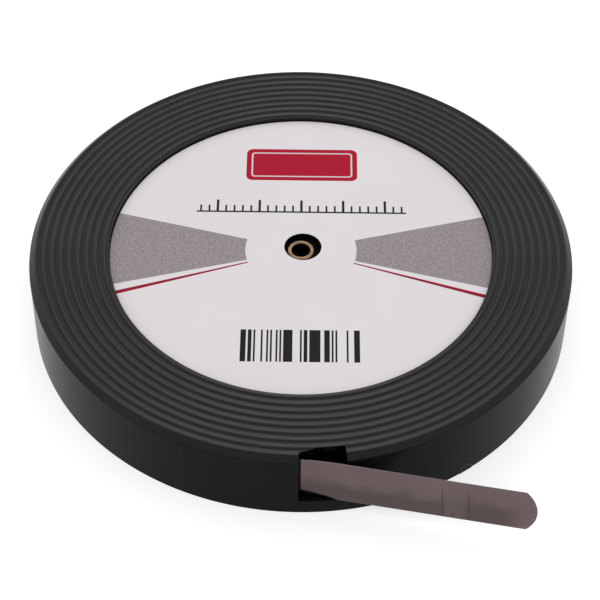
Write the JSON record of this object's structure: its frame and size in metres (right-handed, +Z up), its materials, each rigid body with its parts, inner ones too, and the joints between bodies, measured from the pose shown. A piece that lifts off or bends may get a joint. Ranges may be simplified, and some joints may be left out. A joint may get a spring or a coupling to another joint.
{
  "type": "shim stock roll",
  "caption": "Round moulded case holding a coil of thin steel shim strip, its free end drawn out through a slot in the rim, with a ringed lid, a paper label and a brass eyelet.",
  "frame": {"origin": "middle of the case's base, on the surface that it lies on", "axes": "+Z up along the case's axis, -Y towards the slot, the strip's free end running to +X"},
  "size_m": [0.127, 0.1343, 0.0186],
  "materials": {
    "case_plastic": "black moulded plastic, satin",
    "label_paper": "printed white paper, smooth",
    "eyelet_brass": "rolled brass, browned",
    "strip_steel": "cold-rolled steel strip, dull"
  },
  "bodies": {
    "root": {"case_base": "case_plastic", "case_lid": "case_plastic", "label": "label_paper", "eyelet": "eyelet_brass", "steel_strip": "strip_steel"}
  },
  "joints": []
}
